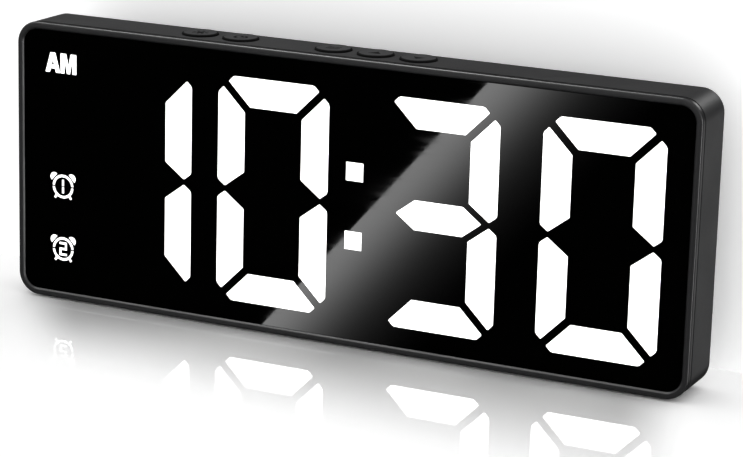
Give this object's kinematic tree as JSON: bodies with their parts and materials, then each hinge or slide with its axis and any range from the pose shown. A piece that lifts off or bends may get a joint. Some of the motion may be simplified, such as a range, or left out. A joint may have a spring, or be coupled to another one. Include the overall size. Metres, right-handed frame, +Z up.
{
  "type": "alarm clock",
  "caption": "Slim desk alarm clock: black case, gloss panel with large lit digits, round push buttons on top, battery box with sliding door behind.",
  "frame": {"origin": "on the table, below the middle of the clock's overall box, battery box included", "axes": "+X to the viewer's right along the width, -Y out of the display, +Z up"},
  "size_m": [0.16, 0.026, 0.0635],
  "materials": {
    "case_black": "fine spark-eroded texture, satin black ABS",
    "button_black": "satin black ABS",
    "panel_black": "polished black acrylic",
    "tape_black": "adhesive foam",
    "light_white": "lit white diffuser resin",
    "block_white": "white reflector moulding",
    "led_resin": "phosphor resin",
    "board_green": "solder mask on glass epoxy",
    "screw_steel": "zinc plated",
    "chip_black": "moulded epoxy",
    "tin_plate": "tinned",
    "can_sleeve": "bare can",
    "plug_white": "nylon",
    "lead_red": "pvc insulation",
    "lead_black": "pvc insulation",
    "contact_nickel": "nickel plated spring steel",
    "cell_wrap": "plain printed wrap",
    "rubber_black": "matt"
  },
  "bodies": {
    "case": {"front_bezel": "case_black", "rear_housing": "case_black", "front_panel": "panel_black", "segments_off": "panel_black", "panel_tape": "tape_black", "segments_lit": "light_white", "colon_dots": "light_white", "am_sign": "light_white", "alarm_signs": "light_white", "light_block": "block_white", "led_chips": "led_resin", "main_board": "board_green", "module_screws": "screw_steel", "case_screws": "screw_steel", "clock_chip": "chip_black", "chip_legs": "tin_plate", "small_resistors": "chip_black", "crystal": "tin_plate", "smoothing_capacitor": "can_sleeve", "buzzer": "chip_black", "usb_socket": "tin_plate", "usb_tongue": "chip_black", "battery_plug": "plug_white", "battery_lead_red": "lead_red", "battery_lead_black": "lead_black", "switch_bodies": "chip_black", "battery_springs": "contact_nickel", "battery_contacts": "contact_nickel", "rubber_feet": "rubber_black", "cell_1": "cell_wrap", "cell_2": "cell_wrap", "cell_3": "cell_wrap"},
    "button_light": {"button_light": "button_black", "plunger_light": "plug_white"},
    "button_alarm": {"button_alarm": "button_black", "plunger_alarm": "plug_white"},
    "button_set": {"button_set": "button_black", "plunger_set": "plug_white"},
    "button_up": {"button_up": "button_black", "plunger_up": "plug_white"},
    "button_down": {"button_down": "button_black", "plunger_down": "plug_white"},
    "battery_door": {"battery_door": "case_black"}
  },
  "joints": [
    {"name": "press_light", "type": "slide", "parent": "case", "child": "button_light", "axis": [0, 0, -1], "range_m": [0, 0.0004], "stiffness_N_per_m": 3000},
    {"name": "press_alarm", "type": "slide", "parent": "case", "child": "button_alarm", "axis": [0, 0, -1], "range_m": [0, 0.0004], "stiffness_N_per_m": 3000},
    {"name": "press_set", "type": "slide", "parent": "case", "child": "button_set", "axis": [0, 0, -1], "range_m": [0, 0.0004], "stiffness_N_per_m": 3000},
    {"name": "press_up", "type": "slide", "parent": "case", "child": "button_up", "axis": [0, 0, -1], "range_m": [0, 0.0004], "stiffness_N_per_m": 3000},
    {"name": "press_down", "type": "slide", "parent": "case", "child": "button_down", "axis": [0, 0, -1], "range_m": [0, 0.0004], "stiffness_N_per_m": 3000},
    {"name": "door_slide", "type": "slide", "parent": "case", "child": "battery_door", "axis": [1, 0, 0], "range_m": [0, 0.052]}
  ]
}
